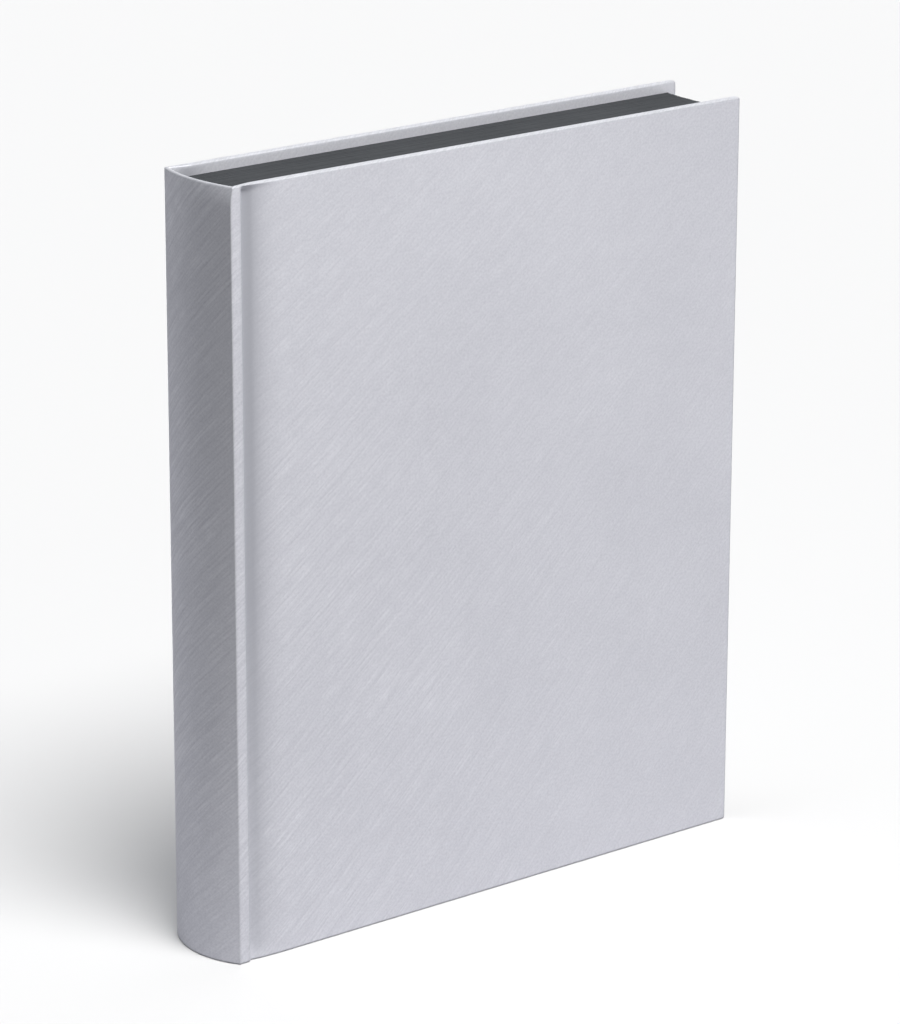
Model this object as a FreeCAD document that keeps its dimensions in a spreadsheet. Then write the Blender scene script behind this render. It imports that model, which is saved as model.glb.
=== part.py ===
import FreeCAD, Part

import os
import re

import Sketcher

# A case-bound photo album that stands on its tail edge, in millimetres.
# +Z is up, from tail to head. The front cover faces -Y and the spine faces -X.
# The origin is at the middle of the album's footprint, on the surface that it stands on.

# Each size that can be set by itself: its name, its value and what it is.
SIZES = (
    ("album_height", 300.0, "cover, tail edge to head edge"),
    ("album_thickness", 41.0, "outer face of one cover to outer face of the other"),
    ("cover_width", 244.0, "spine shoulder to fore-edge of a cover"),
    ("tail_bulge", 6.5, "how far the round of the spine stands out at the tail"),
    ("head_bulge", 2.9, "the same at the head, where the spine is flatter"),
    ("cloth_thickness", 0.35, "covering cloth"),
    ("board_thickness", 2.5, "grey board of a cover"),
    ("card_thickness", 0.6, "card that stiffens the spine"),
    ("flank_width", 4.3, "flat strip of the spine beside each shoulder"),
    ("hinge_clearance", 0.3, "air between spine and cover, and hinge line to cover face"),
    ("groove_width", 5.1, "groove between the spine's flat strip and the board"),
    ("groove_depth", 1.3, "how deep the cloth is pressed in, from a line across the groove"),
    ("bevel_width", 7.0, "pressed-down edge of the board beside the groove"),
    ("bevel_depth", 0.7, "how far that edge is pressed down at the groove"),
    ("turn_in", 15.0, "cloth that is folded over onto the inside"),
    ("head_square", 4.1, "cover beyond the pages at the head"),
    ("tail_square", 4.1, "cover beyond the pages at the tail"),
    ("fore_edge_square", 4.5, "cover beyond the pages at the fore-edge"),
    ("fore_edge_hollow", 1.0, "how far the middle of the pages' fore-edge lies in"),
    ("endpaper_thickness", 0.2, "pastedown and flyleaf"),
    ("pastedown_margin", 4.1, "cloth left bare round the pastedown"),
    ("closing_gap", 0.1, "air between a closed cover and its flyleaf"),
    ("mull_thickness", 0.3, "open cloth glued to the spine of the pages"),
    ("lining_thickness", 0.2, "paper glued over the mull"),
    ("lining_margin", 3.0, "pages left bare above and below the mull and lining"),
    ("hollow_gap", 0.4, "air between the lining and the spine, at the head"),
    ("cut_overrun", 1.0, "how far a cutting outline runs past an open end"),
)

FRONT, BACK = -1, 1
SIDES = (("front", FRONT), ("back", BACK))

# Places along X, as expressions of the sizes.
SHOULDER = "((tail_bulge - cover_width) / 2)"
FORE_EDGE = f"({SHOULDER} + cover_width)"
FLANK_END = f"({SHOULDER} + flank_width)"
GROOVE_START = f"({FLANK_END} + hinge_clearance)"
GROOVE_END = f"({GROOVE_START} + groove_width)"
BEVEL_END = f"({GROOVE_END} + bevel_width)"
BOARD_START = f"({GROOVE_END} + cloth_thickness)"
BOARD_END = f"({FORE_EDGE} - cloth_thickness)"
PAGES_END = f"({FORE_EDGE} - fore_edge_square)"

# Depths from the album's outer face inwards, and half thicknesses from its middle plane.
HALF = "(album_thickness / 2)"
BOARD_INNER = "(cloth_thickness + board_thickness)"
COVER_INNER = f"({BOARD_INNER} + cloth_thickness)"
PASTEDOWN_INNER = f"({COVER_INNER} + endpaper_thickness)"
LEAVES_HALF = f"({HALF} - {PASTEDOWN_INNER} - closing_gap)"
PAGES_HALF = f"({LEAVES_HALF} - endpaper_thickness)"
BOARD_OUTER = "cloth_thickness"
BEVEL_OUTER = "(cloth_thickness + bevel_depth)"
CARD_OUTER = "cloth_thickness"
CARD_INNER = "(cloth_thickness + card_thickness)"
SPINE_INNER = f"({CARD_INNER} + cloth_thickness)"

# Depths, from the spine's outer face, of what is glued to the round of the pages.
LINING_OUTER = f"({SPINE_INNER} + hollow_gap)"
MULL_OUTER = f"({LINING_OUTER} + lining_thickness)"
PAGES_OUTER = f"({MULL_OUTER} + mull_thickness)"

# Heights.
TOP = "album_height"
INSIDE_BOTTOM = "cloth_thickness"
INSIDE_HEIGHT = "(album_height - 2 * cloth_thickness)"
INSIDE_TOP = "(album_height - cloth_thickness)"
WINDOW_HEIGHT = "(album_height - 2 * turn_in)"
WINDOW_TOP = "(album_height - turn_in)"
PAGES_HEIGHT = "(album_height - head_square - tail_square)"
LINING_BOTTOM = "(tail_square + lining_margin)"
LINING_HEIGHT = f"({PAGES_HEIGHT} - 2 * lining_margin)"

doc = FreeCAD.newDocument("photo_album")
sheet = doc.addObject("Spreadsheet::Sheet", "Sizes")
for row, (alias, number, meaning) in enumerate(SIZES, start=1):
    sheet.set(f"A{row}", alias)
    sheet.set(f"B{row}", str(number))
    sheet.set(f"C{row}", meaning)
    sheet.setAlias(f"B{row}", alias)
doc.recompute()


def bound(expression):
    """The expression, with each size's name pointing at its cell."""
    names = {alias for alias, _, _ in SIZES}
    return re.sub(r"[a-z_]+", lambda m: f"Sizes.{m[0]}" if m[0] in names else m[0], expression)


def number_of(expression):
    """What the expression comes to with the sheet's present sizes."""
    result = sheet.evalExpression(bound(expression))
    return float(getattr(result, "Value", result))


# ---- Sketches -------------------------------------------------------------------------

# A corner is (x, y). Where the edge to the next corner is an arc, it is (x, y, radius, turn).
CLOCKWISE, ANTICLOCKWISE = -1, 1


def arc_of(start, end, radius, turn):
    """The arc from start to end, less than half a circle, as an anticlockwise curve."""
    chord = end - start
    sagitta = radius - (radius**2 - (chord.Length / 2) ** 2) ** 0.5
    outwards = FreeCAD.Vector(chord.y, -chord.x, 0).normalize() * (turn * sagitta)
    middle = (start + end) / 2 + outwards
    ends = (start, end) if turn == ANTICLOCKWISE else (end, start)
    return Part.Arc(ends[0], middle, ends[1])


def draw(sketch, corners):
    """Draws a closed outline whose corners and radii are bound to the sheet."""
    places = [FreeCAD.Vector(number_of(c[0]), number_of(c[1]), 0) for c in corners]
    edges = []
    for i, corner in enumerate(corners):
        start, end = places[i], places[(i + 1) % len(corners)]
        if len(corner) == 2:
            edge = sketch.addGeometry(Part.LineSegment(start, end), False)
            edges.append((edge, 1, 2))
            continue
        radius, turn = corner[2:]
        edge = sketch.addGeometry(arc_of(start, end, number_of(radius), turn), False)
        edges.append((edge, 1, 2) if turn == ANTICLOCKWISE else (edge, 2, 1))
    for i, (edge, _, last) in enumerate(edges):
        following, first, _ = edges[(i + 1) % len(edges)]
        sketch.addConstraint(Sketcher.Constraint("Coincident", edge, last, following, first))
    for i, corner in enumerate(corners):
        edge, first, _ = edges[i]
        bind(sketch, f"x{i}", corner[0], "DistanceX", -1, 1, edge, first)
        bind(sketch, f"y{i}", corner[1], "DistanceY", -1, 1, edge, first)
        if len(corner) > 2:
            bind(sketch, f"radius{i}", corner[2], "Radius", edge)


def bind(sketch, name, expression, kind, *where):
    """Adds a dimension to the sketch, bound to an expression of the sheet's sizes."""
    index = sketch.addConstraint(Sketcher.Constraint(kind, *where, number_of(expression)))
    sketch.renameConstraint(index, name)
    sketch.setExpression(f"Constraints.{name}", bound(expression))


def sketch_at(body, purpose, height, corners):
    """A horizontal outline at a height above the surface that the album stands on."""
    sketch = body.newObject("Sketcher::SketchObject", f"{body.Label}_{purpose}")
    plane = next(o for o in body.Origin.OriginFeatures if o.Role == "XY_Plane")
    sketch.AttachmentSupport = [(plane, "")]
    sketch.MapMode = "FlatFace"
    sketch.setExpression("AttachmentOffset.Base.z", bound(height))
    draw(sketch, corners)
    doc.recompute()
    return sketch


# ---- Features -------------------------------------------------------------------------


def new_body(label):
    """An empty body for one sub-part."""
    body = doc.addObject("PartDesign::Body", label)
    body.Label = label
    return body


def pad(body, purpose, corners, bottom, height):
    """Stands an outline up, from a bottom height."""
    feature = body.newObject("PartDesign::Pad", f"{body.Label}_{purpose}")
    feature.Profile = sketch_at(body, f"{purpose}_outline", bottom, corners)
    feature.setExpression("Length", bound(height))
    doc.recompute()


def cut(body, purpose, corners, bottom, height):
    """Takes an upright space out of the body, from a bottom height."""
    before = body.Shape.Volume
    sketch = sketch_at(body, f"{purpose}_outline", bottom, corners)
    feature = body.newObject("PartDesign::Pocket", f"{body.Label}_{purpose}")
    feature.Profile = sketch
    feature.Reversed = True
    feature.setExpression("Length", bound(height))
    doc.recompute()
    must_be_less(body, purpose, before)


def loft(body, kind, purpose, tail, head):
    """Joins a tail and a head section, each given as (height, corners)."""
    sections = [
        sketch_at(body, f"{purpose}_{name}", *section)
        for name, section in (("tail", tail), ("head", head))
    ]
    feature = body.newObject(f"PartDesign::{kind}Loft", f"{body.Label}_{purpose}")
    feature.Profile = sections[0]
    feature.Sections = sections[1:]
    feature.Ruled = True
    doc.recompute()


def cut_loft(body, purpose, tail, head):
    """Takes a lofted space out of the body."""
    before = body.Shape.Volume
    loft(body, "Subtractive", purpose, tail, head)
    must_be_less(body, purpose, before)


def must_be_less(body, purpose, before):
    """Stops the build where a cut took nothing away."""
    if not body.Shape.Volume < before:
        raise RuntimeError(f"{body.Label}: {purpose} cuts nothing")


# ---- Outlines -------------------------------------------------------------------------


def inwards(side, depth):
    """The y of a depth inside the album's outer face, on one side."""
    return f"{side} * ({HALF} - {depth})"


def block(side, start, end, outer, inner):
    """A rectangle on one side of the album, between two depths from its outer face."""
    near = inwards(side, outer)
    far = inwards(side, inner)
    return [(start, near), (end, near), (end, far), (start, far)]


def arc_radius(rise, half_chord):
    """Radius of the arc that rises by a height over a chord of twice half_chord."""
    return f"((({rise})^2 + ({half_chord})^2) / (2 * ({rise})))"


def round_x(bulge, depth, half_width):
    """Where the spine's round, at a depth inside its face, is half_width from the middle."""
    radius = arc_radius(bulge, HALF)
    centre = f"({SHOULDER} - {bulge} + {radius})"
    return f"({centre} - sqrt(({radius} - {depth})^2 - ({half_width})^2))"


def spine_section(bulge, outer, inner, overrun="0"):
    """The spine's round with a flat strip beside each shoulder, between two depths."""
    radius = arc_radius(bulge, HALF)
    end = f"({FLANK_END} + {overrun})"
    outer_half = f"({HALF} - {outer})"
    inner_half = f"({HALF} - {inner})"
    outer_corner = round_x(bulge, outer, outer_half)
    inner_corner = round_x(bulge, inner, inner_half)
    return [
        (end, f"-{outer_half}"),
        (outer_corner, f"-{outer_half}", f"({radius} - {outer})", CLOCKWISE),
        (outer_corner, outer_half),
        (end, outer_half),
        (end, inner_half),
        (inner_corner, inner_half, f"({radius} - {inner})", ANTICLOCKWISE),
        (inner_corner, f"-{inner_half}"),
        (end, f"-{inner_half}"),
    ]


def bulge_at(height):
    """How far the round stands out at a height, even from the tail's to the head's."""
    return f"(tail_bulge + (head_bulge - tail_bulge) * {height} / album_height)"


def spine_ends(bottom, top, outer, inner, overrun="0"):
    """The tail and head sections of a stretch of the spine, between two depths."""
    return [
        (height, spine_section(bulge_at(height), outer, inner, overrun))
        for height in (bottom, top)
    ]


def round_band(outer, inner):
    """A layer on the round of the pages, between two depths from the spine's face at the head."""
    radius = arc_radius("head_bulge", HALF)
    outer_corner = round_x("head_bulge", outer, PAGES_HALF)
    inner_corner = round_x("head_bulge", inner, PAGES_HALF)
    return [
        (outer_corner, f"-{PAGES_HALF}", f"({radius} - {outer})", CLOCKWISE),
        (outer_corner, PAGES_HALF),
        (inner_corner, PAGES_HALF, f"({radius} - {inner})", ANTICLOCKWISE),
        (inner_corner, f"-{PAGES_HALF}"),
    ]


PAGES_START = round_x("head_bulge", PAGES_OUTER, PAGES_HALF)


def bevelled_board(side, start, end, edge_depth):
    """The board's section, with the edge beside the groove pressed down to a depth."""
    return [
        (start, inwards(side, edge_depth)),
        (BEVEL_END, inwards(side, BOARD_OUTER)),
        (end, inwards(side, BOARD_OUTER)),
        (end, inwards(side, BOARD_INNER)),
        (start, inwards(side, BOARD_INNER)),
    ]


def groove_and_cover(side):
    """The cover's section: the cloth pressed into the groove, then board and cloth together."""
    chord = "sqrt(groove_width^2 + bevel_depth^2)"
    radius = arc_radius("groove_depth", f"{chord} / 2")
    to_centre = f"(({radius} - groove_depth) / {chord})"
    centre_x = f"(groove_width / 2 + bevel_depth * {to_centre})"
    centre_depth = f"(bevel_depth / 2 - groove_width * {to_centre})"
    inner_radius = f"({radius} + cloth_thickness)"
    depth_at_end = f"({centre_depth} + sqrt({inner_radius}^2 - (groove_width - {centre_x})^2))"
    depth_at_start = f"({centre_depth} + sqrt({inner_radius}^2 - {centre_x}^2))"
    return [
        (GROOVE_START, inwards(side, "0"), radius, side),
        (GROOVE_END, inwards(side, "bevel_depth")),
        (BEVEL_END, inwards(side, "0")),
        (FORE_EDGE, inwards(side, "0")),
        (FORE_EDGE, inwards(side, COVER_INNER)),
        (GROOVE_END, inwards(side, COVER_INNER)),
        (GROOVE_END, inwards(side, depth_at_end), inner_radius, -side),
        (GROOVE_START, inwards(side, depth_at_start)),
    ]


# ---- Sub-parts ------------------------------------------------------------------------


def cover_board(name, side):
    """Grey board, wrapped in cloth on three edges."""
    body = new_body(f"{name}_board")
    edge_depth = "(cloth_thickness + bevel_depth * (1 - cloth_thickness / bevel_width))"
    section = bevelled_board(side, BOARD_START, BOARD_END, edge_depth)
    pad(body, "slab", section, INSIDE_BOTTOM, INSIDE_HEIGHT)
    return body


def cover_cloth(name, side):
    """Cloth on a cover: outer face, groove, three wrapped edges and their turn-ins."""
    body = new_body(f"{name}_cover_cloth")
    pad(body, "wrapped_cover", groove_and_cover(side), "0", TOP)
    board_space = bevelled_board(side, GROOVE_END, BOARD_END, BEVEL_OUTER)
    cut(body, "board_space", board_space, INSIDE_BOTTOM, INSIDE_HEIGHT)
    window_end = f"({FORE_EDGE} - turn_in)"
    window = block(side, GROOVE_END, window_end, BOARD_INNER, COVER_INNER)
    cut(body, "bare_board", window, "turn_in", WINDOW_HEIGHT)
    return body


def pastedown(name, side):
    """Endpaper glued inside a cover: it lies on the board and steps up onto the turn-ins."""
    body = new_body(f"{name}_pastedown")
    end = f"({FORE_EDGE} - pastedown_margin)"
    fold = f"({FORE_EDGE} - turn_in)"
    height = "(album_height - 2 * pastedown_margin)"
    sheet_section = block(side, BOARD_START, end, BOARD_INNER, PASTEDOWN_INNER)
    pad(body, "sheet", sheet_section, "pastedown_margin", height)

    paper_on_board = f"({BOARD_INNER} + endpaper_thickness)"
    dish_end = f"({fold} - endpaper_thickness)"
    dish = block(side, BOARD_START, dish_end, paper_on_board, PASTEDOWN_INNER)
    dish_height = f"({WINDOW_HEIGHT} - 2 * endpaper_thickness)"
    cut(body, "dish", dish, "(turn_in + endpaper_thickness)", dish_height)

    strip_height = "(turn_in - pastedown_margin)"
    end_strip = block(side, BOARD_START, end, BOARD_INNER, COVER_INNER)
    cut(body, "tail_turn_in", end_strip, "pastedown_margin", strip_height)
    cut(body, "head_turn_in", end_strip, WINDOW_TOP, strip_height)
    side_strip = block(side, fold, end, BOARD_INNER, COVER_INNER)
    cut(body, "fore_edge_turn_in", side_strip, "turn_in", WINDOW_HEIGHT)
    return body


def flyleaf(name, side):
    """The free half of an endpaper, against the first or the last page."""
    body = new_body(f"{name}_flyleaf")
    outer = f"({HALF} - {LEAVES_HALF})"
    inner = f"({HALF} - {PAGES_HALF})"
    section = block(side, PAGES_START, PAGES_END, outer, inner)
    pad(body, "leaf", section, "tail_square", PAGES_HEIGHT)
    return body


def page_block():
    """All the pages: rounded at the spine, slightly hollow at the fore-edge."""
    body = new_body("page_block")
    round_radius = f"({arc_radius('head_bulge', HALF)} - {PAGES_OUTER})"
    hollow_radius = arc_radius("fore_edge_hollow", PAGES_HALF)
    section = [
        (PAGES_START, f"-{PAGES_HALF}"),
        (PAGES_END, f"-{PAGES_HALF}", hollow_radius, CLOCKWISE),
        (PAGES_END, PAGES_HALF),
        (PAGES_START, PAGES_HALF, round_radius, ANTICLOCKWISE),
    ]
    pad(body, "pages", section, "tail_square", PAGES_HEIGHT)
    return body


def spine_mull():
    """Open-weave cloth glued to the round of the pages."""
    body = new_body("spine_mull")
    pad(body, "mull", round_band(MULL_OUTER, PAGES_OUTER), LINING_BOTTOM, LINING_HEIGHT)
    return body


def spine_lining():
    """Strong paper glued over the mull."""
    body = new_body("spine_lining")
    pad(body, "paper", round_band(LINING_OUTER, MULL_OUTER), LINING_BOTTOM, LINING_HEIGHT)
    return body


def spine_card():
    """Card that keeps the spine's shape, creased at both shoulders."""
    body = new_body("spine_card")
    ends = spine_ends(INSIDE_BOTTOM, INSIDE_TOP, CARD_OUTER, CARD_INNER)
    loft(body, "Additive", "card", *ends)
    return body


def spine_cloth():
    """Cloth over the spine card, folded over it at the head and the tail."""
    body = new_body("spine_cloth")
    loft(body, "Additive", "wrap", *spine_ends("0", TOP, "0", SPINE_INNER))
    slot = spine_ends(INSIDE_BOTTOM, INSIDE_TOP, CARD_OUTER, CARD_INNER, "cut_overrun")
    cut_loft(body, "card_space", *slot)
    card_middle = "(cloth_thickness + card_thickness / 2)"
    clear_inside = f"({SPINE_INNER} + cloth_thickness)"
    window = spine_ends("turn_in", WINDOW_TOP, card_middle, clear_inside, "cut_overrun")
    cut_loft(body, "bare_card", *window)
    return body


# ---- The album ------------------------------------------------------------------------

sub_parts = []
for side_name, side_sign in SIDES:
    sub_parts.append(cover_board(side_name, side_sign))
    sub_parts.append(cover_cloth(side_name, side_sign))
    sub_parts.append(pastedown(side_name, side_sign))
    sub_parts.append(flyleaf(side_name, side_sign))
sub_parts += [page_block(), spine_mull(), spine_lining(), spine_card(), spine_cloth()]
doc.recompute()

for item in doc.Objects:
    if "Invalid" in item.State or "Error" in item.State:
        raise RuntimeError(f"{item.Label} failed: {item.State}")
for part in sub_parts:
    if part.Shape.isNull() or not part.Shape.isValid():
        raise RuntimeError(f"{part.Label} has no valid shape")
    if len(part.Shape.Solids) != 1:
        raise RuntimeError(f"{part.Label} is {len(part.Shape.Solids)} solids, not one")

os.makedirs("parts", exist_ok=True)
for part in sub_parts:
    part.Shape.exportStep(f"parts/{part.Label}.step")
    print(f"{part.Label}: {part.Shape.Volume:.0f} mm3")

for side_name, side_sign in SIDES:
    hinge_x = number_of(f"{FLANK_END} + hinge_clearance / 2")
    hinge_y = side_sign * number_of(f"{HALF} + hinge_clearance")
    print(f"{side_name} cover hinge line: x {hinge_x:.3f}, y {hinge_y:.3f}")
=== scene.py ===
# %% [markdown]
# # A photo album bound in brushed silver cloth
# An album of this kind is made as a case and a block. Two grey boards and a strip of card are
# wrapped in cloth to make the case, and a block of black leaves is hung in it by its endpapers.
# The bare construction comes as a fixed frame of named nodes, one for each real piece, on three
# bodies that can turn. This lesson loads that frame, reads every size from it, and gives each
# visible piece its true surface.

# %% Load the frame
import math

import bmesh
import bpy
import numpy as np
from mathutils import Matrix, Vector


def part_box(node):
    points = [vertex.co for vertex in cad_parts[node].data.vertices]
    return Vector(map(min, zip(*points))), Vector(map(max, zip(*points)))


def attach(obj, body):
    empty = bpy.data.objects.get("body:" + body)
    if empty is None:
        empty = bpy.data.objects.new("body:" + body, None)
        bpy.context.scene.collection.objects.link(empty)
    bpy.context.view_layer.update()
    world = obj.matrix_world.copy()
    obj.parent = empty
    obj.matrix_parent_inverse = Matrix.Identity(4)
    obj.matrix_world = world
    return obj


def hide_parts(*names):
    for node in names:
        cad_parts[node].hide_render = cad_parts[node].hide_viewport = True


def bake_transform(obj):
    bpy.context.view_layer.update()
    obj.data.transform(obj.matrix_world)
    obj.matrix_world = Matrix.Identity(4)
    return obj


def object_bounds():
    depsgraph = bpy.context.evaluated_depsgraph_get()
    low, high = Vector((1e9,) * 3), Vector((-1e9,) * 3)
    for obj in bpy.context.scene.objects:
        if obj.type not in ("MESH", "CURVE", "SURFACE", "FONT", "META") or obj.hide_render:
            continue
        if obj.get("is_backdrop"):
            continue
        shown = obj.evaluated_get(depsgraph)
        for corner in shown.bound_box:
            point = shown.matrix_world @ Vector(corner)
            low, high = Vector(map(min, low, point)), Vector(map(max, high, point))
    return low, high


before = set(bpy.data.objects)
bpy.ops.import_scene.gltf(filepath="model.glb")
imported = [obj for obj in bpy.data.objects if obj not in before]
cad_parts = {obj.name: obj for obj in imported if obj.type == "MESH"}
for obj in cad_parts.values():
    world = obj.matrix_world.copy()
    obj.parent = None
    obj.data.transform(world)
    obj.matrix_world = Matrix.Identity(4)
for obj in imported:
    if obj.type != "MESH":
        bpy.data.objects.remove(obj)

cad_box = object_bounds()
MM = 0.001
print("construction box, mm:", [[round(c / MM, 2) for c in corner] for corner in cad_box])

# %% [markdown]
# ## Sizes that the frame already knows
# A cover can only fit its board if both use the same numbers. So nothing is measured again: each
# place is read from the box, or from the corner points, of the node that has it. The album stands
# on its tail edge, the front cover faces -Y and the spine faces -X.

# %% Read the places
cover_low, cover_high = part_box("front_cover_cloth")
board_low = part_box("front_board")[0]
HEIGHT = cover_high.z
FACE = -cover_low.y
FORE_EDGE = cover_high.x
COVER_DEPTH = cover_high.y - cover_low.y
CLOTH = board_low.z
GROOVE_START = cover_low.x
GROOVE_END = board_low.x - CLOTH
FLANK_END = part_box("spine_cloth")[1].x


def points_of(name):
    """The corner points of a node's mesh, in metres."""
    return np.array([v.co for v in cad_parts[name].data.vertices])


spine_points = points_of("spine_cloth")
NEAR = 0.01 * MM
SHOULDER = spine_points[spine_points[:, 1] < NEAR - FACE, 0].min()
CROWN_AT_TAIL = spine_points[spine_points[:, 2] < NEAR, 0].min()
CROWN_AT_HEAD = spine_points[spine_points[:, 2] > HEIGHT - NEAR, 0].min()
print(f"cover {(FORE_EDGE - SHOULDER) / MM:.1f} x {HEIGHT / MM:.1f} mm")
print(f"album {2 * FACE / MM:.1f} mm thick")
print(f"spine stands out {(SHOULDER - CROWN_AT_TAIL) / MM:.1f} mm at the tail,",
      f"{(SHOULDER - CROWN_AT_HEAD) / MM:.1f} mm at the head")

# %% [markdown]
# ## Nodes in few words
# The sky, the floor, each material and the pile of leaves are trees of nodes. A tree can be built
# by hand in the editor, but a row of small formulas is quicker to read and gives the same tree each
# time. Each helper adds one node, sets or wires its inputs, and hands back its result.

# %% Node helpers
# Sockets of a Mix node, when it mixes colours.
MIX_FACTOR, MIX_FIRST, MIX_SECOND, MIX_RESULT = 0, 6, 7, 2


def fill(tree, node, values):
    """A node with its inputs set to numbers or wired to sockets."""
    for key, value in values.items():
        if isinstance(value, bpy.types.NodeSocket):
            tree.links.new(value, node.inputs[key])
        else:
            node.inputs[key].default_value = value
    return node


def add_node(tree, kind, values=None, **settings):
    """A new node with its settings and its inputs."""
    node = tree.nodes.new(kind)
    for key, setting in settings.items():
        setattr(node, key, setting)
    return fill(tree, node, values or {})


def maths(tree, operation, *values):
    """The result of a Math node."""
    inputs = dict(enumerate(values))
    return add_node(tree, "ShaderNodeMath", inputs, operation=operation).outputs[0]


def ranged(tree, value, low, high, to_low=0.0, to_high=1.0):
    """The value moved from one range to another, and kept inside it."""
    numbers = {0: value, 1: low, 2: high, 3: to_low, 4: to_high}
    return add_node(tree, "ShaderNodeMapRange", numbers).outputs[0]


def parted(tree, vector):
    """The three parts of a vector."""
    return add_node(tree, "ShaderNodeSeparateXYZ", {0: vector}).outputs


def mixed_colour(tree, factor, first, second):
    """The colour between two colours, at a factor from 0 to 1."""
    first, second = ((*end, 1.0) if isinstance(end, tuple) else end for end in (first, second))
    inputs = {MIX_FACTOR: factor, MIX_FIRST: first, MIX_SECOND: second}
    return add_node(tree, "ShaderNodeMix", inputs, data_type="RGBA").outputs[MIX_RESULT]


def node_place(tree):
    """The point on the surface, in the frame's own metres."""
    return add_node(tree, "ShaderNodeTexCoord").outputs["Object"]


print("node helpers: fill, add_node, maths, ranged, parted, mixed_colour, node_place")

# %% [markdown]
# ## A floor, a sky and one big soft lamp
# A studio for a matt object is simple: a pale floor, a sky, and one large lamp, here a sun whose
# disc is made very wide so that its shadow is soft. The camera itself sees a near-white floor and
# backdrop. The light that the same floor and sky send to the album is weaker, and Light Path tells
# the two kinds of ray apart. A photographer keeps one side of the room dark, so that the two faces
# of a box read as different. Here the sky and the floor both fall off towards -X, where the spine
# looks. A small lamp in front lifts the upper part of the cover a little.

# %% Sky
PAPER_WHITE = (0.957, 0.957, 0.958)
SKY_COLOUR = (0.95, 0.97, 1.0)
SKY_SHADE = (0.82, 0.90, 1.0)
SKY_FRONT = 0.32
SKY_BACK = 0.92
SKY_TURN = (-0.2, 0.5)
SKY_DARK = 0.134
SKY_FALL = (0.1, 0.75)
DARK_AZIMUTH = -65.0


def rays(tree):
    """Two masks: 1 for a ray from the camera, and 1 for one mirrored or let through."""
    path = add_node(tree, "ShaderNodeLightPath").outputs
    passed_on = maths(tree, "MAXIMUM", path["Is Glossy Ray"], path["Is Transmission Ray"])
    return path["Is Camera Ray"], passed_on


def towards_dark_side(tree, place):
    """How far a place or a direction lies towards the dark side of the room."""
    side = math.radians(DARK_AZIMUTH)
    inputs = {0: place, 1: (math.sin(side), -math.cos(side), 0.0)}
    return add_node(
        tree, "ShaderNodeVectorMath", inputs, operation="DOT_PRODUCT"
    ).outputs["Value"]


def make_sky():
    world = bpy.data.worlds.new("studio_sky")
    world.use_nodes = True
    tree = world.node_tree
    tree.nodes.clear()
    facing = add_node(tree, "ShaderNodeTexCoord").outputs["Generated"]
    backdrop = ranged(tree, parted(tree, facing)[1], *SKY_TURN, SKY_FRONT, SKY_BACK)
    darkness = ranged(tree, towards_dark_side(tree, facing), *SKY_FALL)
    lit = maths(tree, "MULTIPLY_ADD", darkness, SKY_DARK - 1, 1.0)
    colour = mixed_colour(tree, darkness, SKY_COLOUR, SKY_SHADE)
    from_camera, passed_on = rays(tree)
    strength = maths(tree, "MULTIPLY", maths(tree, "MAXIMUM", backdrop, passed_on), lit)
    sky = add_node(tree, "ShaderNodeBackground", {"Color": colour, "Strength": strength})
    shown = add_node(tree, "ShaderNodeBackground", {"Color": (*PAPER_WHITE, 1.0), "Strength": 1.0})
    choice = {0: from_camera, 1: sky.outputs[0], 2: shown.outputs[0]}
    chosen = add_node(tree, "ShaderNodeMixShader", choice)
    add_node(tree, "ShaderNodeOutputWorld", {"Surface": chosen.outputs[0]})
    bpy.context.scene.world = world


make_sky()
print(f"sky: {SKY_BACK} behind, {SKY_FRONT} in front, dark towards {DARK_AZIMUTH:.0f} degrees")

# %% Floor
FLOOR_WHITE = (0.630, 0.626, 0.622)
FLOOR_BOUNCE = (0.335, 0.335, 0.355)
FLOOR_DARK = (0.05, 0.05, 0.055)
FLOOR_FALL = (0.12, 0.5)
FLOOR_RADIUS = 8.0
FLOOR_SIDES = 64


def pale_floor():
    material = bpy.data.materials.new("pale_floor")
    material.use_nodes = True
    tree = material.node_tree
    darkness = ranged(tree, towards_dark_side(tree, node_place(tree)), *FLOOR_FALL)
    bounce = mixed_colour(tree, darkness, FLOOR_BOUNCE, FLOOR_DARK)
    colour = mixed_colour(tree, rays(tree)[0], bounce, FLOOR_WHITE)
    finish = {"Base Color": colour, "Roughness": 1.0, "Specular IOR Level": 0.0}
    fill(tree, tree.nodes["Principled BSDF"], finish)
    return material


def make_floor():
    mesh = bpy.data.meshes.new("floor")
    form = bmesh.new()
    bmesh.ops.create_circle(form, cap_ends=True, segments=FLOOR_SIDES, radius=FLOOR_RADIUS)
    form.to_mesh(mesh)
    form.free()
    mesh.materials.append(pale_floor())
    floor = bpy.data.objects.new("floor", mesh)
    bpy.context.scene.collection.objects.link(floor)
    floor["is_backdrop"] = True


make_floor()
print(f"floor: {FLOOR_RADIUS:.0f} m round")

# %% Lamps
SUN_STRENGTH = 3.74
SUN_AZIMUTH = -5.0
SUN_HEIGHT = 63.5
SUN_WIDTH = 34.0
HEAD_LAMP_PLACE = (-0.04, -0.37, 0.42)
HEAD_LAMP_WATTS = 0.33
HEAD_LAMP_SIZE = 0.25
HEAD_LAMP_AIM = 0.7


def direction_to(azimuth, elevation):
    """The direction to a point so far round from -Y, and so far up, in degrees."""
    side, rise = math.radians(azimuth), math.radians(elevation)
    level = math.cos(rise)
    return Vector((math.sin(side) * level, -math.cos(side) * level, math.sin(rise)))


def hang_lamp(lamp, place, aim):
    """A lamp put in its place and turned to its aim."""
    holder = bpy.data.objects.new(lamp.name, lamp)
    holder.location = place
    holder.rotation_euler = (Vector(place) - Vector(aim)).to_track_quat("Z", "Y").to_euler()
    holder.visible_camera = False
    bpy.context.scene.collection.objects.link(holder)


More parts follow.
